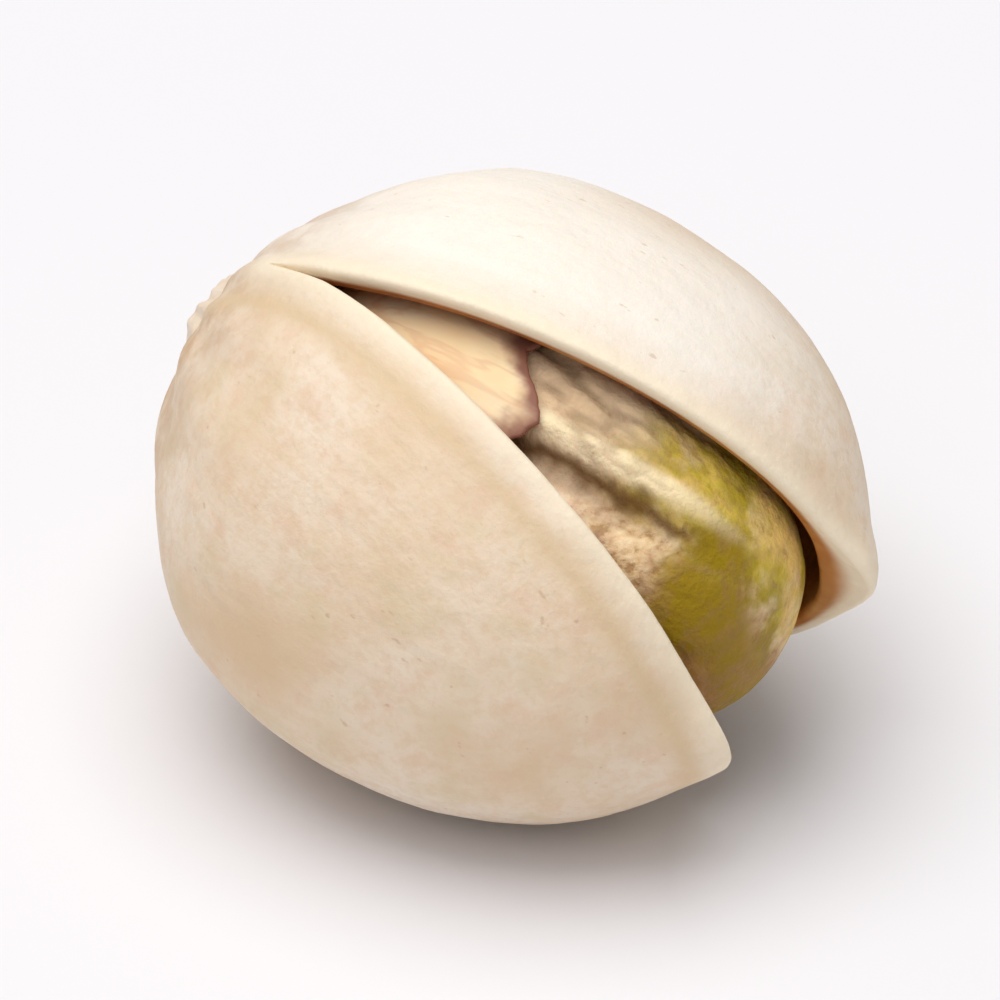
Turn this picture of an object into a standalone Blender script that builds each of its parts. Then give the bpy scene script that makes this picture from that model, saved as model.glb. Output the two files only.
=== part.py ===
# Pistachio in its shell: the shell has split from the tip along both seams and gapes, still whole
# at the stem end, round a wrinkled kernel whose papery skin has torn off over the tip half.
#
# The nut's own axes, before it is laid down: X runs from the stem end to the tip, Y towards the
# seam that ends up on top, and Z through the two halves of the shell, towards the half it lies on.

import math

import bmesh
import bpy
from mathutils import Vector

MM = 0.001

# Shell, as if still closed
SHELL_LENGTH = 18.0 * MM  # stem end to tip
SHELL_WIDTH = 13.2 * MM  # across, from seam to seam
SHELL_DEPTH = 14.9 * MM  # through both halves
WALL = 0.8 * MM
RIM_WALL = 0.5 * MM  # the wall thins towards the edges of the split
RIM_BREADTH = 2.0 * MM
SHELL_FULLNESS = 0.96  # under 1 makes the ends blunter
SHELL_TAPER = 0.07  # how much broader the stem end is than the tip
TIP_POINT = 0.8 * MM  # the small beak on the tip
TIP_POINT_RADIUS = 1.5 * MM

# Relief raised from the outside of the shell
LIP_HEIGHT = 0.16 * MM  # thickened edge along both seams
LIP_BREADTH = 0.75 * MM
KEEL_HEIGHT = 0.22 * MM  # soft ridge along the middle of each half
KEEL_BREADTH = 1.5 * MM
PLEAT_COUNT = 14  # shallow pleats that run out from the stem scar
PLEAT_DEPTH = 0.12 * MM
PLEAT_REACH = 0.42  # share of the length that they run
PLEAT_SWAY = 1.5  # how unevenly they are spaced
PLEAT_CLEAR_RADIUS = 2.5 * MM  # they fade out towards the scar within this

# Stem scar, a low boss with a sunk face
SCAR_RADIUS = 1.15 * MM
SCAR_FOOT_RADIUS = 2.1 * MM
SCAR_HEIGHT = 0.4 * MM
SCAR_DIMPLE_RADIUS = 0.75 * MM
SCAR_DIMPLE_DEPTH = 0.25 * MM
SCAR_ROOT = 0.6 * MM  # how far the boss reaches into the wall
SCAR_SEGMENTS = 28

# Split
LOWER_GAPE = math.radians(8.5)  # how far the half that the nut lies on has swung out
UPPER_GAPE = math.radians(14.5)
GAPE_BEND = 4.0 * MM  # length over which the shell bends into that swing
SPLIT_START = 0.115  # where the middle of the split begins, as a share of the length
SPLIT_SLANT = 0.04  # the split reaches further back along the upper seam

# Kernel, with its stem end low in the lower half and its tip in the middle of the gap
KERNEL_LENGTH = 14.6 * MM
KERNEL_WIDTH = 10.5 * MM
KERNEL_DEPTH = 9.8 * MM
KERNEL_FULLNESS = 0.78
KERNEL_TAPER = 0.06
KERNEL_LEAN = math.radians(-4.0)
KERNEL_SET = Vector((1.05, 0.2, -0.45)) * MM  # its middle, from the middle of the closed shell
KERNEL_TURN = math.radians(13.0)  # about its long axis, which turns its cleft to the lower half
CLEFT_DEPTH = 0.6 * MM  # between the two seed leaves
CLEFT_BREADTH = 0.6 * MM
CLEFT_SWAY = 0.25 * MM  # how far it wanders to either side
CLEFT_BENDS = 5
WRINKLE_DEPTH = 0.24 * MM
WRINKLE_COUNT = 9
WRINKLE_TWIST = 2.2
WRINKLE_BENDS = 4

# Skin that still covers the stem half of the kernel
SKIN_GAP = 0.2 * MM
SKIN_THICKNESS = 0.2 * MM
SKIN_REACH = math.radians(88)  # from the stem end of the kernel, round its side
SKIN_TEAR = math.radians(5)  # how ragged the torn edge is
SKIN_TEAR_WAVES = ((3, 1.0), (7, 0.5), (13, 0.35))  # waves round the edge, and their shares

# Pose at rest
ROLL = math.radians(20.5)  # turns the upper seam towards the front
PITCH = math.radians(10.5)  # lowers the tip
SEAT_DEPTH = 0.25 * MM  # how much of the belly is taken off by the flat spot it lies on
SEAT_RADIUS = 2.0 * MM
SEAT_CENTRE = Vector((0.7, -1.2)) * MM  # in the finished part, from the middle of its box
SEAT_SIDES = 24
SEAT_BEVEL = math.radians(6)  # the worn edge round the flat spot
SEAT_MARGIN = 3.0 * MM

# Mesh fineness
SHELL_SEGMENTS, SHELL_RINGS = 64, 34
KERNEL_SEGMENTS, KERNEL_RINGS = 48, 30
SKIN_SEGMENTS, SKIN_RINGS = 48, 24


def make_material(name, colour, roughness):
    material = bpy.data.materials.new(name)
    material.use_nodes = True
    shader = material.node_tree.nodes["Principled BSDF"]
    shader.inputs["Base Color"].default_value = (*colour, 1.0)
    shader.inputs["Roughness"].default_value = roughness
    shader.inputs["Metallic"].default_value = 0.0
    return material


def make_object(name, bm, collection, parent=None, material=None):
    mesh = bpy.data.meshes.new(name)
    bm.to_mesh(mesh)
    bm.free()
    mesh.shade_smooth()
    obj = bpy.data.objects.new(name, mesh)
    collection.objects.link(obj)
    obj.parent = parent
    if material:
        mesh.materials.append(material)
    return obj


def bell(distance, breadth):
    """A smooth bump: 1 at no distance, falling to nothing within about two breadths."""
    return math.exp(-((distance / breadth) ** 2))


def egg_point(direction, size, fullness, taper):
    """Point of an egg in the direction of a unit vector whose Z is the egg's long axis, +X."""
    along = direction.z
    across = math.hypot(direction.x, direction.y)
    if across < 1e-6:
        return Vector((math.copysign(size[0] / 2, along), 0.0, 0.0))
    swell = across**fullness * (1 - taper * along) / across
    return Vector(
        (
            size[0] / 2 * along,
            size[1] / 2 * direction.x * swell,
            size[2] / 2 * direction.y * swell,
        )
    )


def shell_relief(point):
    """Moves a point of the plain outer egg out to the tip's beak, lips, keels and pleats."""
    radius = math.hypot(point.y, point.z)
    if radius < 1e-9:
        outward = Vector((0.0, 0.0, 0.0))
    else:
        outward = Vector((0.0, point.y, point.z)) / radius
    share = point.x / SHELL_LENGTH + 0.5
    body = math.sin(math.pi * min(max(share, 0.0), 1.0))
    lip = LIP_HEIGHT * bell(point.z, LIP_BREADTH) * body**0.5
    keel = KEEL_HEIGHT * bell(point.y, KEEL_BREADTH) * body
    fade = max(0.0, 1 - share / PLEAT_REACH) * min(1.0, radius / PLEAT_CLEAR_RADIUS)
    around = math.atan2(point.z, point.y)
    pleat_phase = PLEAT_COUNT * around + PLEAT_SWAY * math.sin(2 * around)
    pleat = PLEAT_DEPTH * fade * math.cos(pleat_phase)
    beak = TIP_POINT * bell(radius, TIP_POINT_RADIUS) if point.x > 0 else 0.0
    return point + outward * (lip + keel + pleat) + Vector((beak, 0.0, 0.0))


def thin_rim(point):
    """Moves a point of the plain inner egg outwards near the seams, where the wall is thinner."""
    outward = Vector((0.0, point.y, point.z)).normalized()
    return point + outward * (WALL - RIM_WALL) * bell(point.z, RIM_BREADTH)


def hinge_place(y):
    """X of the line round which the halves swing, which slants back towards the upper seam."""
    return SHELL_LENGTH * (SPLIT_START - 0.5) - SPLIT_SLANT * y


def swing(point, side):
    """Turns a point of one half outwards, by more the further it lies past the hinge line."""
    hinge = hinge_place(point.y)
    past = point.x - hinge
    if past <= 0 or side == 0:
        return point.copy()
    gape = LOWER_GAPE if side > 0 else UPPER_GAPE
    angle = gape * min(1.0, past / GAPE_BEND)
    bend_radius = GAPE_BEND / gape
    straight = max(0.0, past - GAPE_BEND)
    height = side * point.z
    along = bend_radius * math.sin(angle) + (straight * math.cos(angle) - height * math.sin(angle))
    out = bend_radius * (1 - math.cos(angle)) + straight * math.sin(angle) + height * math.cos(angle)
    return Vector((hinge + along, point.y, side * out))


def split_seams(bm):
    """Cuts a shell surface along its two seams, from the hinge line over the tip."""
    on_seam = [v for v in bm.verts if abs(v.co.z) < 1e-7]
    past = {v for v in on_seam if v.co.x > hinge_place(v.co.y) - 1e-7}
    edges = [e for e in bm.edges if e.verts[0] in past and e.verts[1] in past]
    bmesh.ops.split_edges(bm, edges=edges)


def side_of(vert):
    """+1 on the lower half, -1 on the upper one, 0 where the seam is still whole."""
    middles = [face.calc_center_median().z for face in vert.link_faces]
    if min(middles) > 0:
        return 1
    if max(middles) < 0:
        return -1
    return 0 if abs(vert.co.z) < 1e-7 else math.copysign(1, vert.co.z)


def shell_surface(inset):
    """One skin of the shell, split and gaping: the outside with no inset, else the inside."""
    bm = bmesh.new()
    bmesh.ops.create_uvsphere(
        bm, u_segments=SHELL_SEGMENTS, v_segments=SHELL_RINGS, radius=1.0
    )
    size = [s - 2 * inset for s in (SHELL_LENGTH, SHELL_WIDTH, SHELL_DEPTH)]
    for vert in bm.verts:
        vert.co = egg_point(vert.co.normalized(), size, SHELL_FULLNESS, SHELL_TAPER)
        vert.co = thin_rim(vert.co) if inset else shell_relief(vert.co)
    split_seams(bm)
    sides = {vert: side_of(vert) for vert in bm.verts}
    for vert, side in sides.items():
        vert.co = swing(vert.co, side)
    return bm


def make_shell_body():
    """Outside and inside of the shell, bridged along the edges of the split."""
    bm = shell_surface(0.0)
    inside = shell_surface(WALL)
    bmesh.ops.reverse_faces(inside, faces=inside.faces)
    mesh = bpy.data.meshes.new("inside")
    inside.to_mesh(mesh)
    inside.free()
    bm.from_mesh(mesh)
    bpy.data.meshes.remove(mesh)
    rims = [edge for edge in bm.edges if edge.is_boundary]
    bmesh.ops.bridge_loops(bm, edges=rims)
    bmesh.ops.recalc_face_normals(bm, faces=bm.faces)
    return bm


def make_scar_boss():
    """The boss that the stem broke off, sunk into the blunt end of the shell."""
    bm = bmesh.new()
    depth = SCAR_HEIGHT + SCAR_ROOT
    bmesh.ops.create_cone(
        bm,
        cap_ends=True,
        segments=SCAR_SEGMENTS,
        radius1=SCAR_RADIUS,
        radius2=SCAR_FOOT_RADIUS,
        depth=depth,
    )
    outer_face = min(bm.faces, key=lambda face: face.calc_center_median().z)
    bmesh.ops.inset_region(bm, faces=[outer_face], thickness=SCAR_RADIUS - SCAR_DIMPLE_RADIUS)
    for vert in outer_face.verts:
        vert.co.z += SCAR_DIMPLE_DEPTH
    start = -SHELL_LENGTH / 2 - SCAR_HEIGHT + depth / 2
    for vert in bm.verts:
        vert.co = Vector((vert.co.z + start, vert.co.x, vert.co.y))
    return bm


def kernel_relief(point):
    """Sinks the cleft between the seed leaves and the lengthwise wrinkles into the kernel."""
    radius = math.hypot(point.y, point.z)
    if radius < 1e-9:
        return point
    share = point.x / KERNEL_LENGTH + 0.5
    body = math.sin(math.pi * min(max(share, 0.0), 1.0))
    around = math.atan2(point.z, point.y)
    cleft_middle = CLEFT_SWAY * math.sin(CLEFT_BENDS * share)
    from_cleft = point.z * math.cos(KERNEL_TURN) - point.y * math.sin(KERNEL_TURN) - cleft_middle
    cleft = CLEFT_DEPTH * body * bell(from_cleft, CLEFT_BREADTH)
    twist = WRINKLE_TWIST * math.sin(WRINKLE_BENDS * share + around)
    wave = math.sin(WRINKLE_COUNT * around + twist)
    wrinkle = WRINKLE_DEPTH * body * (0.5 + 0.5 * wave)
    outward = Vector((0.0, point.y, point.z)) / radius
    return point - outward * (cleft + wrinkle)


def lean(point):
    """Puts a point of the kernel or its skin where the kernel lies in the shell."""
    cosine, sine = math.cos(KERNEL_LEAN), math.sin(KERNEL_LEAN)
    turned = Vector(
        (
            point.x * cosine - point.z * sine,
            point.y,
            point.x * sine + point.z * cosine,
        )
    )
    return turned + KERNEL_SET


def make_kernel():
    bm = bmesh.new()
    bmesh.ops.create_uvsphere(
        bm, u_segments=KERNEL_SEGMENTS, v_segments=KERNEL_RINGS, radius=1.0
    )
    size = (KERNEL_LENGTH, KERNEL_WIDTH, KERNEL_DEPTH)
    for vert in bm.verts:
        plain = egg_point(vert.co.normalized(), size, KERNEL_FULLNESS, KERNEL_TAPER)
        vert.co = lean(kernel_relief(plain))
    return bm


def torn_edge(around):
    """Angle from the stem end at which the skin stops, for each direction round the kernel."""
    ragged = sum(share * math.sin(count * around + share) for count, share in SKIN_TEAR_WAVES)
    return SKIN_REACH + SKIN_TEAR * ragged


def make_skin():
    """A cap over the stem half of the kernel, thickened outwards by its Solidify modifier."""
    bm = bmesh.new()
    bmesh.ops.create_uvsphere(
        bm, u_segments=SKIN_SEGMENTS, v_segments=SKIN_RINGS, radius=1.0
    )
    beyond = [vert for vert in bm.verts if vert.co.z > 1e-4]
    bmesh.ops.delete(bm, geom=beyond, context="VERTS")
    grow = 2 * SKIN_GAP
    size = (KERNEL_LENGTH + grow, KERNEL_WIDTH + grow, KERNEL_DEPTH + grow)
    for vert in bm.verts:
        around = math.atan2(vert.co.y, vert.co.x)
        from_stem = math.acos(max(-1.0, min(1.0, -vert.co.normalized().z)))
        reach = from_stem / (math.pi / 2) * torn_edge(around)
        direction = Vector(
            (
                math.sin(reach) * math.cos(around),
                math.sin(reach) * math.sin(around),
                -math.cos(reach),
            )
        )
        vert.co = lean(egg_point(direction, size, KERNEL_FULLNESS, KERNEL_TAPER))
    return bm


def add_boolean(obj, operation, other):
    modifier = obj.modifiers.new(operation.capitalize(), "BOOLEAN")
    modifier.operation = operation
    modifier.object = other


def hide_helper(obj):
    obj.hide_render = True
    obj.display_type = "WIRE"


def world_corners(objects):
    """Lowest and highest corner of the objects as they are evaluated, in world space."""
    bpy.context.view_layer.update()
    graph = bpy.context.evaluated_depsgraph_get()
    points = []
    for obj in objects:
        evaluated = obj.evaluated_get(graph)
        points += [evaluated.matrix_world @ v.co for v in evaluated.data.vertices]
    low = Vector(min(p[i] for p in points) for i in range(3))
    high = Vector(max(p[i] for p in points) for i in range(3))
    return low, high


def make_floor_cutter(collection):
    """A dished disc that cuts the flat spot which the nut lies on, and the worn edge round it."""
    rise = SEAT_MARGIN * math.tan(SEAT_BEVEL)
    radius = SEAT_RADIUS + SEAT_MARGIN
    depth = SHELL_LENGTH / 2
    bm = bmesh.new()
    bmesh.ops.create_cone(
        bm, cap_ends=True, segments=SEAT_SIDES, radius1=radius, radius2=radius, depth=depth
    )
    top = max(bm.faces, key=lambda face: face.calc_center_median().z)
    bmesh.ops.inset_individual(bm, faces=[top], thickness=SEAT_MARGIN, depth=-rise)
    cutter = make_object("floor_cutter", bm, collection)
    cutter.location = (SEAT_CENTRE.x, SEAT_CENTRE.y, rise - depth / 2)
    hide_helper(cutter)
    return cutter


def main():
    for obj in list(bpy.data.objects):
        bpy.data.objects.remove(obj)
    parts = bpy.data.collections.new("pistachio_in_shell")
    cutters = bpy.data.collections.new("cutters")
    for collection in (parts, cutters):
        bpy.context.scene.collection.children.link(collection)

    nut = bpy.data.objects.new("nut", None)
    parts.objects.link(nut)
    nut.rotation_euler = (math.radians(90) + ROLL, PITCH, 0.0)

    shell_material = make_material("shell", (0.80, 0.66, 0.47), 0.55)
    kernel_material = make_material("kernel", (0.38, 0.36, 0.08), 0.5)
    skin_material = make_material("seed_skin", (0.66, 0.36, 0.22), 0.6)

    boss = make_object("scar_boss", make_scar_boss(), cutters, nut)
    hide_helper(boss)
    shell = make_object("shell", make_shell_body(), parts, nut, shell_material)
    add_boolean(shell, "UNION", boss)
    kernel = make_object("kernel", make_kernel(), parts, nut, kernel_material)
    skin = make_object("seed_skin", make_skin(), parts, nut, skin_material)
    solidify = skin.modifiers.new("Solidify", "SOLIDIFY")
    solidify.thickness = SKIN_THICKNESS
    solidify.offset = 1.0

    low, _ = world_corners([shell])
    nut.location.z = -low.z - SEAT_DEPTH
    add_boolean(shell, "DIFFERENCE", make_floor_cutter(cutters))
    low, high = world_corners([shell, kernel, skin])
    nut.location.x = -(low.x + high.x) / 2
    nut.location.y = -(low.y + high.y) / 2


main()
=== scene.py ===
# A pistachio in its gaping shell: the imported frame, dressed with a fine shell, kernel and torn
# seed skin. Sizes of the nut are in millimetres along its own axes: X from the stem end to the
# tip, Y to the seam that ends up on top, Z through the two halves of the shell to the half that
# the nut lies on.
import math

import bmesh
import bpy
from mathutils import Euler, Matrix, Vector


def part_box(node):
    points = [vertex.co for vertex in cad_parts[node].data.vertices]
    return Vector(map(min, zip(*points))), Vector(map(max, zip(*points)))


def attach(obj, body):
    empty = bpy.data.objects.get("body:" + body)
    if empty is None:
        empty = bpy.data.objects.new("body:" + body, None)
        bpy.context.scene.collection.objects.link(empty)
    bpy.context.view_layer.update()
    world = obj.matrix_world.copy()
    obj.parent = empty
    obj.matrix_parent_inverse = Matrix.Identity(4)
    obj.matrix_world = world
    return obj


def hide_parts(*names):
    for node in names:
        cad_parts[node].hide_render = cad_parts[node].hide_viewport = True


millimetre = 0.001  # the nut is made in millimetres and the frame is in metres

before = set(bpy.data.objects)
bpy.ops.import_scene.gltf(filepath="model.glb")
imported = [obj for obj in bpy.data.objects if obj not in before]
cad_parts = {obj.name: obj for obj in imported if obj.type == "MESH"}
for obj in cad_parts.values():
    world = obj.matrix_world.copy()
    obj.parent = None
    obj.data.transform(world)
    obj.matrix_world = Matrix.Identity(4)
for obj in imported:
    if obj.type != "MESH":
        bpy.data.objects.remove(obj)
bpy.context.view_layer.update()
print("frame loaded:", ", ".join(sorted(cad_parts)))


# Small helpers for shapes

def bell(distance, breadth):  # 1 at no distance, nothing past about two breadths
    return math.exp(-((distance / breadth) ** 2))


def ease(low, high, value):  # 0 below low, 1 above high, smooth between
    share = min(1.0, max(0.0, (value - low) / (high - low)))
    return share * share * (3 - 2 * share)


def roundOver(distance, radius):  # how far a rounded edge drops back near the cut
    if distance >= radius:
        return 0.0
    return radius * (1 - math.sqrt(1 - (1 - distance / radius) ** 2))


# Small helpers for nodes, in geometry and in materials

def put(tree, kind, values=None, **settings):
    node = tree.nodes.new(kind)
    for name, value in settings.items():
        setattr(node, name, value)
    for key, value in (values or {}).items():
        if isinstance(value, bpy.types.NodeSocket):
            tree.links.new(value, node.inputs[key])
        else:
            node.inputs[key].default_value = value
    return node


def calc(tree, operation, *values):
    return put(tree, "ShaderNodeMath", dict(enumerate(values)), operation=operation).outputs[0]


def times(tree, *values):
    product = values[0]
    for value in values[1:]:
        product = calc(tree, "MULTIPLY", product, value)
    return product


def centred(tree, value):  # moves a noise of 0 to 1 to lie round 0
    return calc(tree, "SUBTRACT", value, 0.5)


def joined(tree, x, y, z):
    return put(tree, "ShaderNodeCombineXYZ", {0: x, 1: y, 2: z}).outputs[0]


def parted(tree, vector):
    return put(tree, "ShaderNodeSeparateXYZ", {0: vector}).outputs


def vectorCalc(tree, operation, *values):
    node = put(tree, "ShaderNodeVectorMath", dict(enumerate(values)), operation=operation)
    return node.outputs[0]


def scaled(tree, vector, amount):
    values = {0: vector, "Scale": amount}
    return put(tree, "ShaderNodeVectorMath", values, operation="SCALE").outputs[0]


def drawnOut(tree, vector, share):  # makes a noise longer along the nut
    return vectorCalc(tree, "MULTIPLY", vector, (share, 1.0, 1.0))


def noise(tree, vector, scale, detail, seed, roughness=0.5):
    values = {"Vector": vector, "W": seed, "Scale": scale, "Detail": detail}
    values["Roughness"] = roughness
    return put(tree, "ShaderNodeTexNoise", values, noise_dimensions="4D").outputs[0]


def spread(tree, value, low, high, toLow=0.0, toHigh=1.0):  # maps a range smoothly on another
    values = {"Value": value, "From Min": low, "From Max": high, "To Min": toLow, "To Max": toHigh}
    return put(tree, "ShaderNodeMapRange", values, interpolation_type="SMOOTHSTEP").outputs[0]


def nodeBell(tree, value, breadth):
    share = calc(tree, "DIVIDE", value, breadth)
    return calc(tree, "EXPONENT", times(tree, share, share, -1.0))


# Geometry Nodes

def startTree(name, inputs):
    tree = bpy.data.node_groups.new(name, "GeometryNodeTree")
    tree.interface.new_socket("Geometry", in_out="INPUT", socket_type="NodeSocketGeometry")
    for label, value in inputs.items():
        kind = "NodeSocketInt" if isinstance(value, int) else "NodeSocketFloat"
        tree.interface.new_socket(label, in_out="INPUT", socket_type=kind).default_value = value
    tree.interface.new_socket("Material", in_out="INPUT", socket_type="NodeSocketMaterial")
    tree.interface.new_socket("Geometry", in_out="OUTPUT", socket_type="NodeSocketGeometry")
    return tree, put(tree, "NodeGroupInput").outputs


def readBack(tree, name, kind="FLOAT_VECTOR"):
    return put(tree, "GeometryNodeInputNamedAttribute", {"Name": name}, data_type=kind).outputs[0]


def keep(tree, geometry, name, value, kind="FLOAT"):  # stores a value for the material
    values = {"Geometry": geometry, "Name": name, "Value": value}
    node = put(tree, "GeometryNodeStoreNamedAttribute", values, data_type=kind, domain="POINT")
    return node.outputs[0]


def endTree(tree, geometry, material):
    smooth = put(tree, "GeometryNodeSetShadeSmooth", {"Geometry": geometry}).outputs[0]
    real = put(tree, "GeometryNodeRealizeInstances", {"Geometry": smooth}).outputs[0]
    values = {"Geometry": real, "Material": material}
    worn = put(tree, "GeometryNodeSetMaterial", values).outputs[0]
    put(tree, "NodeGroupOutput", {"Geometry": worn})


def addTree(obj, tree, values, material):  # inputs go in by their identifiers
    modifier = obj.modifiers.new(tree.name, "NODES")
    modifier.node_group = tree
    for item in tree.interface.items_tree:
        if item.item_type == "SOCKET" and item.in_out == "INPUT" and item.name in values:
            modifier[item.identifier] = values[item.name]
        elif item.item_type == "SOCKET" and item.in_out == "INPUT" and item.name == "Material":
            modifier[item.identifier] = material


def newPiece(name, mesh):
    obj = bpy.data.objects.new(name, mesh)
    bpy.context.scene.collection.objects.link(obj)
    return obj


def settle(obj, place):  # makes the modifiers' result a plain mesh, laid down where it belongs
    graph = bpy.context.evaluated_depsgraph_get()
    mesh = bpy.data.meshes.new_from_object(obj.evaluated_get(graph), depsgraph=graph)
    obj.modifiers.clear()
    obj.data = mesh
    mesh.name = obj.name
    mesh.transform(place)
    mesh.update()


# Materials

def fromHex(code):
    parts = [int(code[i:i + 2], 16) / 255 for i in (1, 3, 5)]
    return (*[p / 12.92 if p <= 0.04045 else ((p + 0.055) / 1.055) ** 2.4 for p in parts], 1.0)


def startMaterial(name, settings):
    material = bpy.data.materials.new(name)
    material.use_nodes = True
    tree = material.node_tree
    shader = tree.nodes["Principled BSDF"]
    for label, value in settings.items():
        shader.inputs[label].default_value = value
    return material, tree, shader


def attribute(tree, name, output="Vector"):
    return put(tree, "ShaderNodeAttribute", attribute_name=name).outputs[output]


def shades(tree, value, *stops):  # a colour ramp from (place, colour) pairs
    node = put(tree, "ShaderNodeValToRGB", {0: value})
    ramp = node.color_ramp
    while len(ramp.elements) < len(stops):
        ramp.elements.new(1.0)
    for element, (place, code) in zip(ramp.elements, stops):
        element.position, element.color = place, fromHex(code)
    return node.outputs[0]


def over(tree, share, under, top):  # lays one colour over another
    top = fromHex(top) if isinstance(top, str) else top
    values = {"Factor": share, 6: under, 7: top}
    return put(tree, "ShaderNodeMix", values, data_type="RGBA").outputs[2]


def roughen(tree, shader, height, depth, strength):  # depth in millimetres
    values = {"Height": height, "Distance": depth * millimetre, "Strength": strength}
    tree.links.new(put(tree, "ShaderNodeBump", values).outputs[0], shader.inputs["Normal"])


# The shell is made as if still closed, then each half is swung open

shellShape = {  # millimetres, but for the shares, the angles and the counts
    "length": 18.0,
    "width": 13.2,
    "depth": 14.9,
    "wall": 0.8,
    "rimWall": 0.5,  # the wall thins towards the split
    "rimBreadth": 2.0,
    "rimRound": 0.2,
    "fullness": 0.96,
    "taper": 0.07,
    "beak": 0.8,
    "beakRadius": 1.5,
    "lip": 0.16,
    "lipBreadth": 0.75,
    "keel": 0.22,
    "keelBreadth": 1.5,
    "pleats": 14,
    "pleatDepth": 0.12,
    "pleatReach": 0.42,
    "pleatSway": 1.5,
    "pleatClear": 2.5,
    "lowerGape": 8.5,  # degrees
    "upperGape": 14.5,
    "bend": 4.0,
    "splitStart": 0.115,  # share of the length
    "splitSlant": 0.04,
    "splitFade": 1.5,  # the rims grow from nothing over this length
    "crowdEnds": 0.25,  # how far the mesh lines are drawn to both ends, and to the seams
    "crowdSeams": 0.38,
    "segments": 256,
    "rings": 150,
}
scarShape = {
    "radius": 1.15,
    "foot": 2.1,
    "height": 0.4,
    "root": 0.6,
    "dimple": 0.75,
    "dimpleDepth": 0.25,
    "rough": 0.05,
    "fineRough": 0.03,
}


def crowd(direction):  # draws the sphere's lines closer together at the seams and at both ends
    along = math.acos(max(-1.0, min(1.0, direction.z)))
    around = math.atan2(direction.y, direction.x)
    along -= shellShape["crowdEnds"] * math.sin(2 * along)
    around -= shellShape["crowdSeams"] * math.sin(2 * around)
    across = math.sin(along)
    return Vector((across * math.cos(around), across * math.sin(around), math.cos(along)))


def eggPoint(direction, size, fullness, taper):
    along = direction.z
    across = math.hypot(direction.x, direction.y)
    if across < 1e-6:
        return Vector((math.copysign(size[0] / 2, along), 0.0, 0.0))
    swell = across**fullness * (1 - taper * along) / across
    x, y, z = (measure / 2 for measure in size)
    return Vector((x * along, y * direction.x * swell, z * direction.y * swell))


def hingePlace(y):
    return shellShape["length"] * (shellShape["splitStart"] - 0.5) - shellShape["splitSlant"] * y


def eggNormal(point):
    size = [shellShape[key] for key in ("length", "width", "depth")]
    return Vector([value / measure**2 for value, measure in zip(point, size)]).normalized()


def scarPlace(radius, around):  # how far out the broken stem end stands
    s = scarShape
    rough = s["rough"] * math.sin(5 * around + 1) + s["fineRough"] * math.sin(11 * around)
    top = -shellShape["length"] / 2 - s["height"] + rough * ease(0.2, 1.0, radius)
    slope = (s["height"] + s["root"]) / (s["foot"] - s["radius"])
    if radius > s["radius"]:
        return top + (radius - s["radius"]) * slope
    return top + s["dimpleDepth"] * (1 - ease(s["dimple"] - 0.3, s["dimple"] + 0.15, radius))


def outerRelief(point):
    s = shellShape
    radius = math.hypot(point.y, point.z)
    outward = Vector((0.0, point.y, point.z)) / max(radius, 1e-6)
    share = point.x / s["length"] + 0.5
    body = math.sin(math.pi * min(max(share, 0.0), 1.0))
    lip = s["lip"] * bell(point.z, s["lipBreadth"]) * body**0.5
    keel = s["keel"] * bell(point.y, s["keelBreadth"]) * body
    fade = max(0.0, 1 - share / s["pleatReach"]) * min(1.0, radius / s["pleatClear"])
    around = math.atan2(point.z, point.y)
    turn = s["pleats"] * around + s["pleatSway"] * math.sin(2 * around)
    pleat = s["pleatDepth"] * fade * math.cos(turn)
    moved = point + outward * (lip + keel + pleat)
    if point.x > 0:
        moved.x += s["beak"] * bell(radius, s["beakRadius"])
    elif radius < scarShape["foot"]:
        scar = scarPlace(radius, around)
        moved.x += (scar - moved.x) * ease(-0.12, 0.12, moved.x - scar)
    split = ease(0.0, s["splitFade"], point.x - hingePlace(point.y))
    return moved - eggNormal(point) * roundOver(abs(point.z), s["rimRound"]) * split


def innerRelief(point):
    s = shellShape
    radius = math.hypot(point.y, point.z)
    outward = Vector((0.0, point.y, point.z)) / max(radius, 1e-6)
    thinner = (s["wall"] - s["rimWall"]) * bell(point.z, s["rimBreadth"]) * min(1.0, radius / 0.8)
    split = ease(0.0, s["splitFade"], point.x - hingePlace(point.y))
    rounded = roundOver(abs(point.z), s["rimRound"]) * split
    return point + outward * thinner + eggNormal(point) * rounded


def swing(point, side):  # bends a half outwards, past the line round which it opens
    s = shellShape
    hinge = hingePlace(point.y)
    past = point.x - hinge
    if past <= 0 or side == 0:
        return point.copy()
    gape = math.radians(s["lowerGape"] if side > 0 else s["upperGape"])
    angle = gape * min(1.0, past / s["bend"])
    bendRadius = s["bend"] / gape
    straight = max(0.0, past - s["bend"])
    height = side * point.z
    sine, cosine = math.sin(angle), math.cos(angle)
    along = bendRadius * sine + straight * cosine - height * sine
    out = bendRadius * (1 - cosine) + straight * sine + height * cosine
    return Vector((hinge + along, point.y, side * out))


def sideOf(vert, directions):  # which half a point belongs to, or 0 where the shell isn't split
    if abs(vert[directions].y) > 1e-5:
        return math.copysign(1, vert[directions].y)
    leans = [sum(corner[directions].y for corner in face.verts) for face in vert.link_faces]
    if min(leans) > 0:
        return 1
    return -1 if max(leans) < 0 else 0


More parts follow.
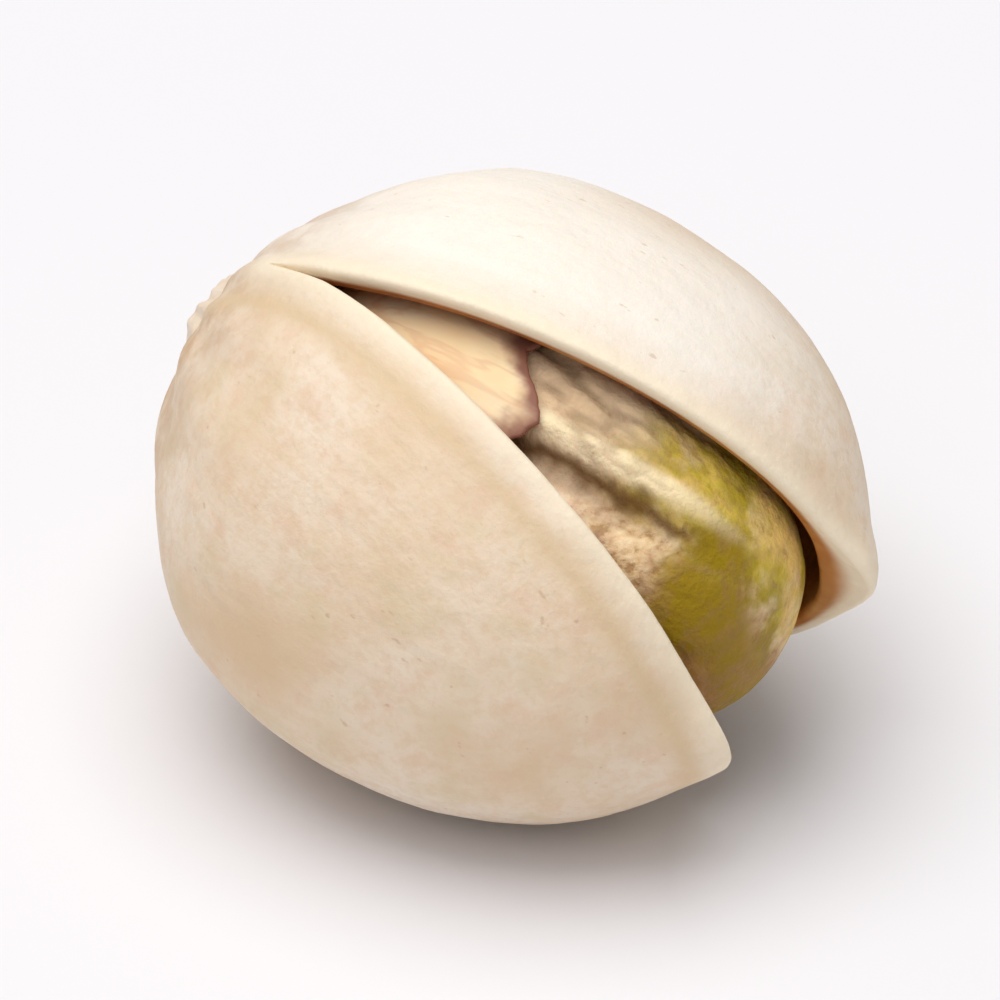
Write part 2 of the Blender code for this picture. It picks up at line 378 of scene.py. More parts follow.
def splitSphere():
    s = shellShape
    bm = bmesh.new()
    bmesh.ops.create_uvsphere(bm, u_segments=s["segments"], v_segments=s["rings"], radius=1.0)
    directions = bm.verts.layers.float_vector.new("directions")
    sides = bm.verts.layers.float.new("sides")
    slant = s["splitSlant"] * s["width"] / s["length"]
    cut = set()
    for vert in bm.verts:
        direction = crowd(vert.co.normalized())
        vert[directions] = direction
        if abs(direction.y) < 1e-5 and direction.z > 2 * s["splitStart"] - 1 - slant * direction.x:
            cut.add(vert)
    seams = [edge for edge in bm.edges if edge.verts[0] in cut and edge.verts[1] in cut]
    bmesh.ops.split_edges(bm, edges=seams)
    for vert in bm.verts:
        vert[sides] = sideOf(vert, directions)
    return bm


def shellSurface(sphere, inset):
    s = shellShape
    bm = sphere.copy()
    directions, sides = bm.verts.layers.float_vector["directions"], bm.verts.layers.float["sides"]
    axes, inside = bm.verts.layers.float_vector.new("nutAxes"), bm.verts.layers.float.new("inside")
    size = [s[key] - 2 * inset for key in ("length", "width", "depth")]
    for vert in bm.verts:
        closed = eggPoint(vert[directions], size, s["fullness"], s["taper"])
        vert[axes] = closed
        vert[inside] = 1.0 if inset else 0.0
        vert.co = swing(innerRelief(closed) if inset else outerRelief(closed), vert[sides])
    return bm


def shellMesh():
    sphere = splitSphere()
    bm = shellSurface(sphere, 0.0)
    within = shellSurface(sphere, shellShape["wall"])
    bmesh.ops.reverse_faces(within, faces=within.faces)
    sphere.verts.index_update()
    count = len(sphere.verts)
    rims = [[vert.index for vert in edge.verts] for edge in sphere.edges if edge.is_boundary]
    mesh = bpy.data.meshes.new("shellFine")
    within.to_mesh(mesh)
    within.free()
    bm.from_mesh(mesh)
    bm.verts.ensure_lookup_table()
    for one, two in rims:  # both surfaces number their points alike
        bm.faces.new([bm.verts[i] for i in (one, two, two + count, one + count)])
    bmesh.ops.recalc_face_normals(bm, faces=bm.faces)
    if bm.calc_volume(signed=True) < 0:  # a hollow body's faces can all come out turned inwards
        bmesh.ops.reverse_faces(bm, faces=bm.faces)
    bm.to_mesh(mesh)
    bm.free()
    sphere.free()
    return mesh


shellRelief = {  # heights and sizes in millimetres
    "Unevenness": 0.07,
    "Uneven Size": 3.2,
    "Ripple": 0.022,
    "Ripple Size": 0.75,
    "Pitting": 0.012,
    "Pit Size": 0.35,
    "Seed": 4,
}


def shellReliefTree():
    tree, given = startTree("shellRelief", shellRelief)
    axes = readBack(tree, "nutAxes")
    inside = readBack(tree, "inside", "FLOAT")
    seed = given["Seed"]
    large, middle, small = [
        calc(tree, "DIVIDE", 1.0, given[key]) for key in ("Uneven Size", "Ripple Size", "Pit Size")
    ]
    uneven = noise(tree, axes, large, 1.0, seed)
    ripple = noise(tree, drawnOut(tree, axes, 0.16), middle, 2.0, seed)
    pit = noise(tree, axes, small, 1.0, seed)
    height = times(tree, centred(tree, uneven), given["Unevenness"])
    for field, amount in ((ripple, given["Ripple"]), (pit, given["Pitting"])):
        height = calc(tree, "MULTIPLY_ADD", centred(tree, field), amount, height)
    outside = times(tree, calc(tree, "SUBTRACT", 1.0, inside), 2.0)  # the lining stays smooth
    height = times(tree, height, outside)
    offset = scaled(tree, put(tree, "GeometryNodeInputNormal").outputs[0], height)
    values = {"Geometry": given["Geometry"], "Offset": offset}
    shaped = put(tree, "GeometryNodeSetPosition", values).outputs[0]
    endTree(tree, shaped, given["Material"])
    return tree


shellColours = {
    "cream": "#EAD5BB",
    "pale": "#F1E2CF",
    # painted light: the near-white laid on the upper half
    "paintedLightCream": "#FDF8F0",
    "tan": "#DFC29C",
    "blush": "#E6C4A8",
    "straw": "#DDCBA6",
    # the lip: the rim's own paler tone with a painted highlight
    "lip": "#FAEBD0",
    "band": "#DCC199",
    "stem": "#B98F62",
    "scar": "#8A6240",
    "inner": "#B5702C",
    "innerDeep": "#8E4D18",
    "innerPale": "#D0985A",
}


shellFields = {  # noises: fineness, detail, draw, roughness
    "cloud": (0.22, 3.0, 1.0),
    "mottle": (1.1, 4.0, 2.0, 0.6),
    "streak": (1.5, 3.0, 3.0),
    "lining": (0.5, 3.0, 5.0),
    "grain": (3.4, 5.0, 6.0, 0.65),
    "straw": (0.6, 2.0, 7.0),
    "speck": (4.2, 2.0, 8.0),
    "dent": (0.9, 3.0, 10.0),
}
shellShares = {  # how strongly each tone is laid on
    "blush": 0.55,
    "straw": 0.5,
    "streak": 0.35,
    "grain": 0.35,
    # how much painted light whitens the upper half
    "paintedLightCream": 0.75,
    "edge": 0.65,
    "speck": 0.38,
    "stem": 0.55,
    "band": 0.75,
    "lip": 0.9,
    "collar": 0.7,
    "scar": 0.85,
}
shellMarks = {  # places and breadths in millimetres
    "lip": 0.55,
    "band": 0.32,  # the beige band just below the lip
    "bandPlace": 1.1,
    "collar": (1.4, 2.2),  # full inside the first radius, gone outside the second
    "scar": (0.6, 1.1),
    "ragged": 1.2,
}
shellBump = {"depth": 0.07, "strength": 0.8, "streak": 0.9, "grain": 0.8, "dent": 2.2}


def shellClouds(tree, field):
    c, share = shellColours, shellShares
    mottled = spread(tree, field["mottle"], 0.5, 0.68, 0.0, share["blush"])
    strawed = spread(tree, field["straw"], 0.52, 0.7, 0.0, share["straw"])
    streaked = spread(tree, field["streak"], 0.5, 0.75, 0.0, share["streak"])
    grained = spread(tree, field["grain"], 0.56, 0.38, 0.0, share["grain"])
    colour = shades(tree, field["cloud"], (0.3, c["tan"]), (0.48, c["cream"]), (0.68, c["pale"]))
    colour = over(tree, mottled, colour, c["blush"])
    colour = over(tree, strawed, colour, c["straw"])
    colour = over(tree, streaked, colour, c["tan"])
    return over(tree, grained, colour, c["tan"])


def shellTones(tree, colour, field, x, y, z):  # the upper half whitened with painted light, its edge, specks, the stem end
    c, share = shellColours, shellShares
    # painted light: the half on top is whitened towards its top seam, where the light falls
    # brightest
    farHalf = spread(tree, z, 1.0, -1.5, 0.0, share["paintedLightCream"])
    paintedLightMask = times(tree, farHalf, spread(tree, y, 0.5, 4.0), spread(tree, x, 8.5, 4.0))
    colour = over(tree, paintedLightMask, colour, c["paintedLightCream"])
    edge = times(tree, spread(tree, z, -4.0, -7.0, 0.0, share["edge"]), spread(tree, x, -2.0, 2.0))
    colour = over(tree, edge, colour, c["tan"])
    specked = spread(tree, field["speck"], 0.68, 0.76, 0.0, share["speck"])
    colour = over(tree, specked, colour, c["stem"])
    towardStem = spread(tree, x, -8.8, -4.5, share["stem"], 0.0)
    streaked = times(tree, towardStem, spread(tree, field["streak"], 0.3, 0.6))
    return over(tree, streaked, colour, c["stem"])


def shellRims(tree, colour, field, x, y, z):  # the lip and its band, the stem scar and its collar
    c, share, mark = shellColours, shellShares, shellMarks
    fromSeam = calc(tree, "ABSOLUTE", z)
    band = nodeBell(tree, calc(tree, "SUBTRACT", fromSeam, mark["bandPlace"]), mark["band"])
    banded = times(tree, band, spread(tree, z, -1.0, 1.0, 0.1, share["band"]))
    colour = over(tree, banded, colour, c["band"])
    # the lip's pale line is partly the rim's own paler colour and partly a painted highlight where
    # the edge catches the light
    fromScar = spread(tree, x, -8.6, -6.5, 0.0, share["lip"])
    lip = times(tree, nodeBell(tree, fromSeam, mark["lip"]), fromScar)
    colour = over(tree, lip, colour, c["lip"])
    squares = calc(tree, "MULTIPLY_ADD", y, y, times(tree, z, z))
    radius = calc(tree, "SQRT", squares)
    radius = calc(tree, "MULTIPLY_ADD", centred(tree, field["mottle"]), mark["ragged"], radius)
    atStem = spread(tree, x, -8.0, -8.4)
    ringed = times(tree, spread(tree, radius, *mark["collar"], share["collar"], 0.0), atStem)
    colour = over(tree, ringed, colour, c["pale"])
    scarred = times(tree, spread(tree, radius, *mark["scar"], share["scar"], 0.0), atStem)
    return over(tree, scarred, colour, c["scar"])


def shellMaterial():
    c, bump = shellColours, shellBump
    settings = {"Subsurface Weight": 0.06, "Subsurface Scale": 0.001}
    material, tree, shader = startMaterial("shellCream", settings)
    axes = attribute(tree, "nutAxes")
    inside = attribute(tree, "inside", "Fac")
    drawn = {"streak": drawnOut(tree, axes, 0.13)}
    drawn["speck"] = drawn["dent"] = drawnOut(tree, axes, 0.5)
    field = {key: noise(tree, drawn.get(key, axes), *given) for key, given in shellFields.items()}
    colour = shellClouds(tree, field)
    colour = shellTones(tree, colour, field, *parted(tree, axes))
    colour = shellRims(tree, colour, field, *parted(tree, axes))
    stops = (0.3, c["innerDeep"]), (0.5, c["inner"]), (0.72, c["innerPale"])
    lining = shades(tree, field["lining"], *stops)
    colour = over(tree, spread(tree, inside, 0.2, 0.8), colour, lining)
    tree.links.new(colour, shader.inputs["Base Color"])
    roughness = spread(tree, field["mottle"], 0.3, 0.7, 0.48, 0.64)
    tree.links.new(roughness, shader.inputs["Roughness"])
    grained = times(tree, field["grain"], bump["grain"])
    height = calc(tree, "MULTIPLY_ADD", field["streak"], bump["streak"], grained)
    height = calc(tree, "MULTIPLY_ADD", field["dent"], bump["dent"], height)
    roughen(tree, shader, height, bump["depth"], bump["strength"])
    return material


# The kernel, whose axes are the nut's own until it is leant in the shell

kernelShape = {  # millimetres, but for the turn, the shares and the counts
    "Length": 14.6,
    "Width": 10.5,
    "Depth": 9.8,
    "Fullness": 0.78,
    "Taper": 0.06,
    "Cleft Depth": 0.6,
    "Cleft Breadth": 0.6,
    "Cleft Sway": 0.25,
    "Cleft Bends": 5.0,
    "Turn": math.radians(13.0),
    "Wrinkle Depth": 0.24,
    "Wrinkle Count": 9.0,
    "Wrinkle Twist": 2.2,
    "Wrinkle Bends": 4.0,
    "Ridge Height": 0.3,
    "Ridge Place": -0.95,
    "Ridge Breadth": 0.4,
    "Crease Depth": 0.16,
    "Crease Breadth": 0.06,
    "Crease Fineness": 0.62,
    "Bump Height": 0.12,
    "Bump Fineness": 1.3,
    "Segments": 256,
    "Rings": 170,
    "Seed": 11,
}
kernelPlace = {"lean": -4.0, "set": (1.05, 0.2, -0.45)}  # degrees and millimetres


def eggNodes(tree, direction, length, width, depth, fullness, taper):
    x, y, z = direction
    squares = calc(tree, "ADD", times(tree, x, x), times(tree, y, y))
    across = calc(tree, "MAXIMUM", calc(tree, "SQRT", squares), 1e-4)
    narrowing = calc(tree, "SUBTRACT", 1.0, times(tree, taper, z))
    rounding = calc(tree, "DIVIDE", calc(tree, "POWER", across, fullness), across)
    swell = times(tree, rounding, narrowing)
    half = [times(tree, size, 0.5) for size in (length, width, depth)]
    return times(tree, half[0], z), times(tree, half[1], x, swell), times(tree, half[2], y, swell)


def pushOut(tree, mesh, plain, height):  # moves the points away from the nut's long axis
    _, y, z = parted(tree, plain)
    outward = vectorCalc(tree, "NORMALIZE", joined(tree, 0.0, y, z))
    shaped = vectorCalc(tree, "ADD", plain, scaled(tree, outward, height))
    mesh = keep(tree, mesh, "seedAxes", plain, "FLOAT_VECTOR")
    mesh = keep(tree, mesh, "seedPoint", shaped, "FLOAT_VECTOR")
    values = {"Geometry": mesh, "Position": readBack(tree, "seedPoint")}
    return put(tree, "GeometryNodeSetPosition", values).outputs[0]


def kernelCleft(tree, given, share, y, z):  # how far beside the winding cleft a point lies
    bends = calc(tree, "SINE", times(tree, given["Cleft Bends"], share))
    turnedZ = times(tree, z, calc(tree, "COSINE", given["Turn"]))
    turnedY = times(tree, y, calc(tree, "SINE", given["Turn"]))
    straight = calc(tree, "SUBTRACT", turnedZ, turnedY)
    return calc(tree, "SUBTRACT", straight, times(tree, given["Cleft Sway"], bends))


def kernelWrinkle(tree, given, share, around):
    phase = calc(tree, "MULTIPLY_ADD", given["Wrinkle Bends"], share, around)
    twist = times(tree, given["Wrinkle Twist"], calc(tree, "SINE", phase))
    wave = calc(tree, "SINE", calc(tree, "MULTIPLY_ADD", given["Wrinkle Count"], around, twist))
    return calc(tree, "MULTIPLY_ADD", wave, 0.5, 0.5)


def kernelTree():
    tree, given = startTree("kernelForm", kernelShape)
    counts = {key: given[key] for key in ("Segments", "Rings")}
    sphere = put(tree, "GeometryNodeMeshUVSphere", counts)
    direction = parted(tree, put(tree, "GeometryNodeInputPosition").outputs[0])
    sizes = [given[key] for key in ("Length", "Width", "Depth", "Fullness", "Taper")]
    x, y, z = eggNodes(tree, direction, *sizes)
    plain = joined(tree, x, y, z)
    share = calc(tree, "ADD", calc(tree, "DIVIDE", x, given["Length"]), 0.5)
    body = calc(tree, "MAXIMUM", calc(tree, "SINE", times(tree, share, math.pi)), 0.0)
    fromCleft = kernelCleft(tree, given, share, y, z)
    cleft = times(tree, body, nodeBell(tree, fromCleft, given["Cleft Breadth"]))
    around = calc(tree, "ARCTAN2", z, y)
    wrinkle = times(tree, body, kernelWrinkle(tree, given, share, around))
    beside = calc(tree, "SUBTRACT", fromCleft, given["Ridge Place"])
    upper = spread(tree, y, 0.5, 2.5)
    ridge = times(tree, nodeBell(tree, beside, given["Ridge Breadth"]), upper, body)
    drawn = drawnOut(tree, plain, 0.28)
    creased = centred(tree, noise(tree, drawn, given["Crease Fineness"], 3.0, given["Seed"]))
    fromCrease = calc(tree, "ABSOLUTE", creased)
    crease = times(tree, spread(tree, fromCrease, 0.0, given["Crease Breadth"], 1.0, 0.0), body)
    drawn = drawnOut(tree, plain, 0.6)
    bumps = centred(tree, noise(tree, drawn, given["Bump Fineness"], 3.0, given["Seed"]))
    height = times(tree, bumps, given["Bump Height"])
    height = calc(tree, "MULTIPLY_ADD", ridge, given["Ridge Height"], height)
    for depth, name in ((cleft, "Cleft"), (wrinkle, "Wrinkle"), (crease, "Crease")):
        height = calc(tree, "SUBTRACT", height, times(tree, depth, given[name + " Depth"]))
    furrow = calc(tree, "MAXIMUM", cleft, times(tree, crease, 0.8))
    mesh = keep(tree, sphere.outputs["Mesh"], "furrow", furrow)
    mesh = keep(tree, mesh, "ridge", ridge)
    mesh = keep(tree, mesh, "besideCleft", fromCleft)
    endTree(tree, pushOut(tree, mesh, plain, height), given["Material"])
    return tree


kernelColours = {
    "olive": "#9F8A18",
    "green": "#C6AE3E",
    "gold": "#EBC672",
    "deep": "#997E04",
    "tan": "#F8E0B8",
    "greyTan": "#E6C69A",
    "brown": "#C4A070",
    # painted shade in the pits
    "pit": "#94704A",
    "pink": "#FBDEC2",
    "purple": "#9A6F62",
    # painted shade: dark brown for the cleft, creases and the painted crack
    "furrow": "#6F4E28",
    # painted highlight on the ridge crest
    "ridge": "#FFEBC4",
    # the tip: the lower leaf's tan darkened with painted shade
    "end": "#A1742E",
}
kernelSpot = {  # the olive patch at the tip, in millimetres
    "along": 6.1,
    "beside": 0.8,
    "length": 1.2,
    "breadth": 1.9,
    "ragged": 1.8,
}
kernelFields = {  # noises: fineness, detail, draw, roughness
    "cloud": (0.55, 4.0, 1.0, 0.6),
    "patch": (0.8, 4.0, 3.0, 0.6),
    "fine": (2.6, 4.0, 4.0, 0.6),
    "grain": (7.0, 2.0, 5.0),
    "vein": (0.9, 3.0, 8.0),
    "wander": (0.9, 2.0, 9.0),
}
kernelShares = {  # how strongly each tone is laid on
    "worn": 0.45,
    # how much of the tip's tan and painted shade is laid on
    "end": 0.85,
    "spot": 0.92,
    # darker pits: painted shade in the bump's dips
    "pit": 0.4,
    "pink": 0.7,
    "vein": 0.2,
    # painted highlight on the ridge crest
    "ridge": 0.85,
    # painted shade in the cleft and creases, and along the crack
    "furrow": 0.5,
    "crack": 0.85,
}
kernelBump = {"depth": 0.16, "strength": 0.9, "fine": 0.7, "grain": 0.3, "crack": 0.5}


def kernelGround(tree, field, along, side):  # green on the upper leaf, tan on the lower
    c, share = kernelColours, kernelShares
    greens = (0.34, c["olive"]), (0.48, c["green"]), (0.62, c["gold"])
    tans = (0.36, c["brown"]), (0.47, c["greyTan"]), (0.64, c["tan"])
    colour = shades(tree, field["cloud"], *greens)
    # on the lower leaf the tan is its own colour, but the ramp follows the bump's noise: darker in
    # the dips as painted shade, lighter on the rises as painted highlight
    worn = shades(tree, field["fine"], *tans)
    patched = spread(tree, field["patch"], 0.52, 0.66, 0.0, share["worn"])
    colour = over(tree, patched, colour, worn)
    colour = over(tree, spread(tree, side, -0.35, 0.35), colour, worn)
    # the tip's tan-brown is the lower leaf's own tan darkened with painted shade, where the
    # rounded end is shadowed
    atTip = spread(tree, along, 4.4, 6.0, 0.0, share["end"])
    return over(tree, times(tree, spread(tree, side, -0.2, 1.0), atTip), colour, c["end"])


def kernelPatches(tree, colour, field, ragged, along, beside):
    c, share, spot = kernelColours, kernelShares, kernelSpot
    length = calc(tree, "DIVIDE", calc(tree, "SUBTRACT", along, spot["along"]), spot["length"])
    fromSpot = calc(tree, "SUBTRACT", beside, spot["beside"])
    breadth = calc(tree, "DIVIDE", fromSpot, spot["breadth"])
    squares = calc(tree, "MULTIPLY_ADD", length, length, times(tree, breadth, breadth))
    away = calc(tree, "MULTIPLY_ADD", ragged, spot["ragged"], calc(tree, "SQRT", squares))
    colour = over(tree, spread(tree, away, 0.6, 1.15, share["spot"], 0.0), colour, c["deep"])
    # painted shade: the darker pits lie where the bump dips
    pitted = spread(tree, field["fine"], 0.42, 0.33, 0.0, share["pit"])
    colour = over(tree, pitted, colour, c["pit"])
    towardStem = calc(tree, "MULTIPLY_ADD", ragged, 4.0, along)
    return over(tree, spread(tree, towardStem, 4.2, 2.2, 0.0, share["pink"]), colour, c["pink"])


def kernelLines(tree, colour, field, crack):
    c, share = kernelColours, kernelShares
    fromVein = calc(tree, "ABSOLUTE", centred(tree, field["vein"]))
    colour = over(tree, spread(tree, fromVein, 0.0, 0.08, share["vein"], 0.0), colour, c["purple"])
    # painted highlight: the pale cream on the raised ridge beside the cleft stands for light on
    # its crest
    ridge = spread(tree, attribute(tree, "ridge", "Fac"), 0.1, 0.6, 0.0, share["ridge"])
    colour = over(tree, ridge, colour, c["ridge"])
    # painted shade: the dark brown in the cleft and creases, and along the crack, stands for the
    # shadow down in them
    furrow = spread(tree, attribute(tree, "furrow", "Fac"), 0.25, 0.9, 0.0, share["furrow"])
    colour = over(tree, furrow, colour, c["furrow"])
    return over(tree, times(tree, crack, share["crack"]), colour, c["furrow"])


def kernelMaterial():
    bump = kernelBump
    settings = {"Subsurface Weight": 0.15, "Subsurface Scale": 0.0008, "Specular IOR Level": 0.15}
    material, tree, shader = startMaterial("kernelGreen", settings)
    axes = attribute(tree, "seedAxes")
    beside = attribute(tree, "besideCleft", "Fac")
    along = parted(tree, axes)[0]
    drawn = dict.fromkeys(("cloud", "patch"), drawnOut(tree, axes, 0.45))
    field = {key: noise(tree, drawn.get(key, axes), *given) for key, given in kernelFields.items()}
    ragged = centred(tree, field["patch"])
    side = calc(tree, "MULTIPLY_ADD", ragged, 2.0, beside)
    # the crack is a painted line: a slight dent in the bump with painted shade along it
    wander = calc(tree, "MULTIPLY_ADD", centred(tree, field["wander"]), 1.4, beside)
    line = nodeBell(tree, calc(tree, "ADD", wander, 0.3), 0.2)
    crack = times(tree, line, spread(tree, along, 6.2, 4.8))
    colour = kernelGround(tree, field, along, side)
    colour = kernelPatches(tree, colour, field, ragged, along, beside)
    colour = kernelLines(tree, colour, field, crack)
    tree.links.new(colour, shader.inputs["Base Color"])
    roughness = spread(tree, field["fine"], 0.3, 0.7, 0.5, 0.72)
    tree.links.new(roughness, shader.inputs["Roughness"])
    grained = times(tree, field["grain"], bump["grain"])
    height = calc(tree, "MULTIPLY_ADD", field["fine"], bump["fine"], grained)
    height = calc(tree, "SUBTRACT", height, times(tree, crack, bump["crack"]))
    roughen(tree, shader, height, bump["depth"], bump["strength"])
    return material


# The papery skin over the stem half of the kernel

skinShape = {  # millimetres, but for the angles, the shares and the counts
    "Gap": 0.2,
    "Reach": math.radians(88.0),
    "Tear": math.radians(5.0),
    "Fray": math.radians(2.0),
    "Fray Fineness": 9.0,
    "Wrinkle Height": 0.1,
    "Wrinkle Fineness": 1.1,
    "Curl": 0.12,
    "Curl Sharpness": 14.0,
    "Around": 300,
    "Along": 130,
    "Seed": 3,
}
skinThickness = 0.16
tearWaves = ((3, 1.0), (7, 0.5), (13, 0.35))  # count round the tear, and size
seamWeld = 0.004  # the rolled sheet's long edges are joined within this


def tornEdge(tree, given, around):  # how far from the stem the skin reaches, as an angle
    torn = given["Reach"]
    for count, size in tearWaves:
        wave = calc(tree, "SINE", calc(tree, "MULTIPLY_ADD", around, float(count), size))
        torn = calc(tree, "MULTIPLY_ADD", times(tree, wave, size), given["Tear"], torn)
    ring = joined(tree, calc(tree, "COSINE", around), calc(tree, "SINE", around), 0.0)
    fray = centred(tree, noise(tree, ring, given["Fray Fineness"], 4.0, given["Seed"], 0.7))
    return calc(tree, "MULTIPLY_ADD", times(tree, fray, 4.0), given["Fray"], torn)


def skinTree():
    tree, given = startTree("skinForm", skinShape)
    values = {0: 1.0, 1: 1.0, "Vertices X": given["Around"], "Vertices Y": given["Along"]}
    grid = put(tree, "GeometryNodeMeshGrid", values)
    across = parted(tree, put(tree, "GeometryNodeInputPosition").outputs[0])
    around = times(tree, across[0], 2 * math.pi)
    share = calc(tree, "ADD", across[1], 0.5)
    reach = times(tree, share, tornEdge(tree, given, around))
    far = calc(tree, "SINE", reach)
    direction = (
        times(tree, far, calc(tree, "COSINE", around)),
        times(tree, far, calc(tree, "SINE", around)),
        times(tree, calc(tree, "COSINE", reach), -1.0),
    )
    grow = times(tree, given["Gap"], 2.0)
    sizes = [calc(tree, "ADD", grow, kernelShape[key]) for key in ("Length", "Width", "Depth")]
    sizes += [kernelShape["Fullness"], kernelShape["Taper"]]
    plain = joined(tree, *eggNodes(tree, direction, *sizes))
    drawn = drawnOut(tree, plain, 0.22)
    wrinkles = centred(tree, noise(tree, drawn, given["Wrinkle Fineness"], 3.0, given["Seed"]))
    curl = times(tree, calc(tree, "POWER", share, given["Curl Sharpness"]), given["Curl"])
    height = calc(tree, "SUBTRACT", times(tree, wrinkles, given["Wrinkle Height"]), curl)
    mesh = keep(tree, grid.outputs["Mesh"], "towardTear", share)
    values = {"Geometry": pushOut(tree, mesh, plain, height), "Distance": seamWeld}
    mesh = put(tree, "GeometryNodeMergeByDistance", values).outputs[0]
    endTree(tree, mesh, given["Material"])
    return tree


skinColours = {
    "peach": "#FFDDB0",
    "tan": "#FACB96",
    "pale": "#FFE9CC",
    "vein": "#DDA47C",
    # painted shadow along the torn edge, in a purple-brown
    "purple": "#85503F",
}


skinFields = {  # noises: fineness, detail, draw
    "cloud": (0.6, 3.0, 1.0),
    "vein": (1.6, 3.0, 2.0),
    "ragged": (1.2, 3.0, 3.0),
}
# purple: how strongly the painted shadow is laid along the torn edge
skinShares = {"vein": 0.35, "purple": 0.95}  # how strongly each tone is laid on
skinBump = {"depth": 0.1, "strength": 0.7}


def skinMaterial():
    c, share, given = skinColours, skinShares, skinFields
    settings = {"Subsurface Weight": 0.25, "Subsurface Scale": 0.0006, "Roughness": 0.62}
    material, tree, shader = startMaterial("skinPapery", settings)
    axes = attribute(tree, "seedAxes")
    toward = attribute(tree, "towardTear", "Fac")
    cloud = noise(tree, drawnOut(tree, axes, 0.4), *given["cloud"])
    vein = noise(tree, drawnOut(tree, axes, 0.15), *given["vein"])
    colour = shades(tree, cloud, (0.32, c["tan"]), (0.52, c["peach"]), (0.7, c["pale"]))
    fromVein = calc(tree, "ABSOLUTE", centred(tree, vein))
    colour = over(tree, spread(tree, fromVein, 0.0, 0.06, share["vein"], 0.0), colour, c["vein"])
    ragged = centred(tree, noise(tree, axes, *given["ragged"]))
    # painted shadow: the purple-brown band along the torn edge stands for the shade under its curl
    edge = calc(tree, "MULTIPLY_ADD", ragged, 0.12, toward)
    colour = over(tree, spread(tree, edge, 0.92, 0.99, 0.0, share["purple"]), colour, c["purple"])
    tree.links.new(colour, shader.inputs["Base Color"])
    roughen(tree, shader, vein, skinBump["depth"], skinBump["strength"])
    return material


# Putting the pieces in the frame

pose = {"roll": 20.5, "pitch": 10.5}  # degrees, as the nut lies
seat = {"radius": 0.002, "centre": (0.0007, -0.0012), "bevel": 6.0}  # in metres and degrees


def layDown(shellPiece):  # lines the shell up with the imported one, by its tip, sides and top
    angles = math.radians(90 + pose["roll"]), math.radians(pose["pitch"]), 0.0
    turned = Euler(angles).to_matrix().to_4x4() @ Matrix.Scale(millimetre, 4)
    points = [turned @ vert.co for vert in shellPiece.data.vertices]
    low = [min(p[i] for p in points) for i in range(3)]
    high = [max(p[i] for p in points) for i in range(3)]
    cadLow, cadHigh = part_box("shell")
    shift = Vector((
        cadHigh[0] - high[0],
        (cadLow[1] + cadHigh[1] - low[1] - high[1]) / 2,
        cadHigh[2] - high[2],
    ))
    return Matrix.Translation(shift) @ turned


def addShell():
    piece = newPiece("shellFine", shellMesh())
    place = layDown(piece)
    addTree(piece, shellReliefTree(), shellRelief, shellMaterial())
    settle(piece, place)
    for vert in piece.data.vertices:  # the small flat spot that the nut lies on, and its worn edge
        away = math.hypot(vert.co.x - seat["centre"][0], vert.co.y - seat["centre"][1])
        if vert.co.z < 0.001 and away < 2 * seat["radius"]:
            worn = max(0.0, away - seat["radius"]) * math.tan(math.radians(seat["bevel"]))
            vert.co.z = max(vert.co.z, worn)
    print("shell:", len(piece.data.polygons), "faces")
    return piece, place


def addSeedPiece(name, tree, values, material, place, thickness=0.0):
    piece = newPiece(name, bpy.data.meshes.new(name))
    addTree(piece, tree, values, material)
    if thickness:
        solid = piece.modifiers.new("Thickness", "SOLIDIFY")
        solid.thickness, solid.offset = thickness, 1.0
    leant = Matrix.Rotation(math.radians(-kernelPlace["lean"]), 4, "Y")
    settle(piece, place @ Matrix.Translation(Vector(kernelPlace["set"])) @ leant)
    print(f"{name}:", len(piece.data.polygons), "faces")
    return piece


shellPiece, place = addShell()
kernelPiece = addSeedPiece("kernelFine", kernelTree(), kernelShape, kernelMaterial(), place)
skinPiece = addSeedPiece("skinFine", skinTree(), skinShape, skinMaterial(), place, skinThickness)
for piece, node in ((shellPiece, "shell"), (kernelPiece, "kernel"), (skinPiece, "seed_skin")):
    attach(piece, "root")
    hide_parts(node)


# Floor, light and camera

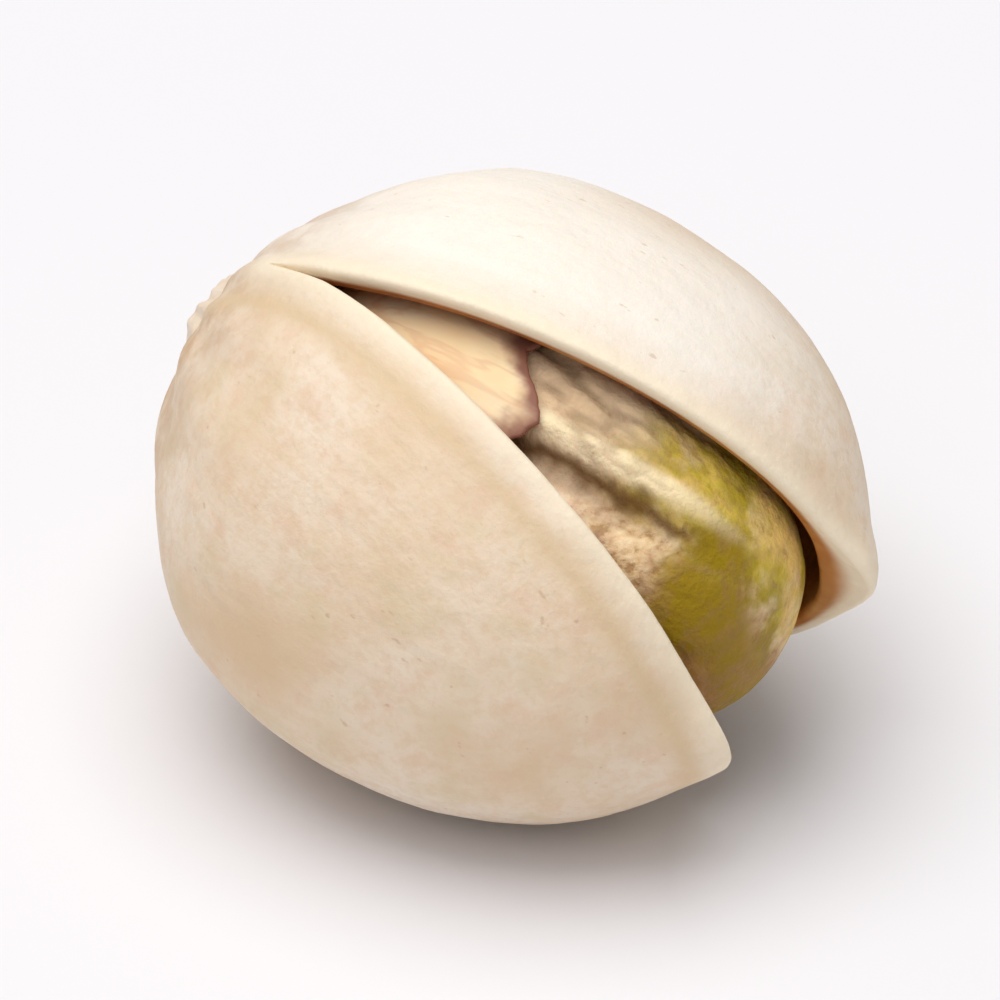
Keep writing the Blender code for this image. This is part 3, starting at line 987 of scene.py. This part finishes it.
studio = {
    "floor": "#EDEDF1",
    "floorSize": 4.0,
    "azimuth": 39.0,  # degrees
    "elevation": 35.0,
    "distance": 0.45,
    "lens": 640.0,
    "aim": (0.0, 0.0, 0.0066),
    "world": 0.32,
}
lights = (  # name, to the right, to the back and up from the nut, size, power, colour
    ("key", -0.08, 0.02, 0.6, 0.7, 3.35, "#FFFCF8"),
    ("fill", -0.1, -0.4, 0.6, 0.5, 0.95, "#FBF8FF"),
)


def addFloor():
    half = studio["floorSize"] / 2
    mesh = bpy.data.meshes.new("floor")
    corners = [(-half, -half, 0), (half, -half, 0), (half, half, 0), (-half, half, 0)]
    mesh.from_pydata(corners, [], [(0, 1, 2, 3)])
    floor = newPiece("floor", mesh)
    material, _, shader = startMaterial("floorPale", {"Roughness": 0.7})
    shader.inputs["Base Color"].default_value = fromHex(studio["floor"])
    mesh.materials.append(material)


def aimAt(obj, target):
    obj.rotation_euler = (target - obj.location).to_track_quat("-Z", "Y").to_euler()


def addCameraAndLights():
    azimuth, elevation = math.radians(studio["azimuth"]), math.radians(studio["elevation"])
    right = Vector((math.cos(azimuth), math.sin(azimuth), 0.0))
    back = Vector((-math.sin(azimuth), math.cos(azimuth), 0.0))
    aim = Vector(studio["aim"])
    camera = bpy.data.objects.new("camera", bpy.data.cameras.new("camera"))
    camera.data.lens = studio["lens"]
    camera.data.clip_start = 0.01
    away = back * -math.cos(elevation) + Vector((0, 0, math.sin(elevation)))
    camera.location = aim + away * studio["distance"]
    aimAt(camera, aim)
    bpy.context.scene.collection.objects.link(camera)
    bpy.context.scene.camera = camera
    for name, toRight, toBack, up, size, power, tint in lights:
        data = bpy.data.lights.new(name, "AREA")
        data.shape, data.size, data.energy, data.color = "DISK", size, power, fromHex(tint)[:3]
        lamp = bpy.data.objects.new(name, data)
        lamp.location = right * toRight + back * toBack + Vector((0, 0, up))
        aimAt(lamp, aim)
        bpy.context.scene.collection.objects.link(lamp)
    world = bpy.data.worlds.new("studio")
    world.use_nodes = True
    world.node_tree.nodes["Background"].inputs[0].default_value = (1.0, 1.0, 1.0, 1.0)
    world.node_tree.nodes["Background"].inputs[1].default_value = studio["world"]
    bpy.context.scene.world = world
    bpy.context.scene.view_settings.view_transform = "Standard"


addFloor()
addCameraAndLights()
print("floor, lights and camera in place")
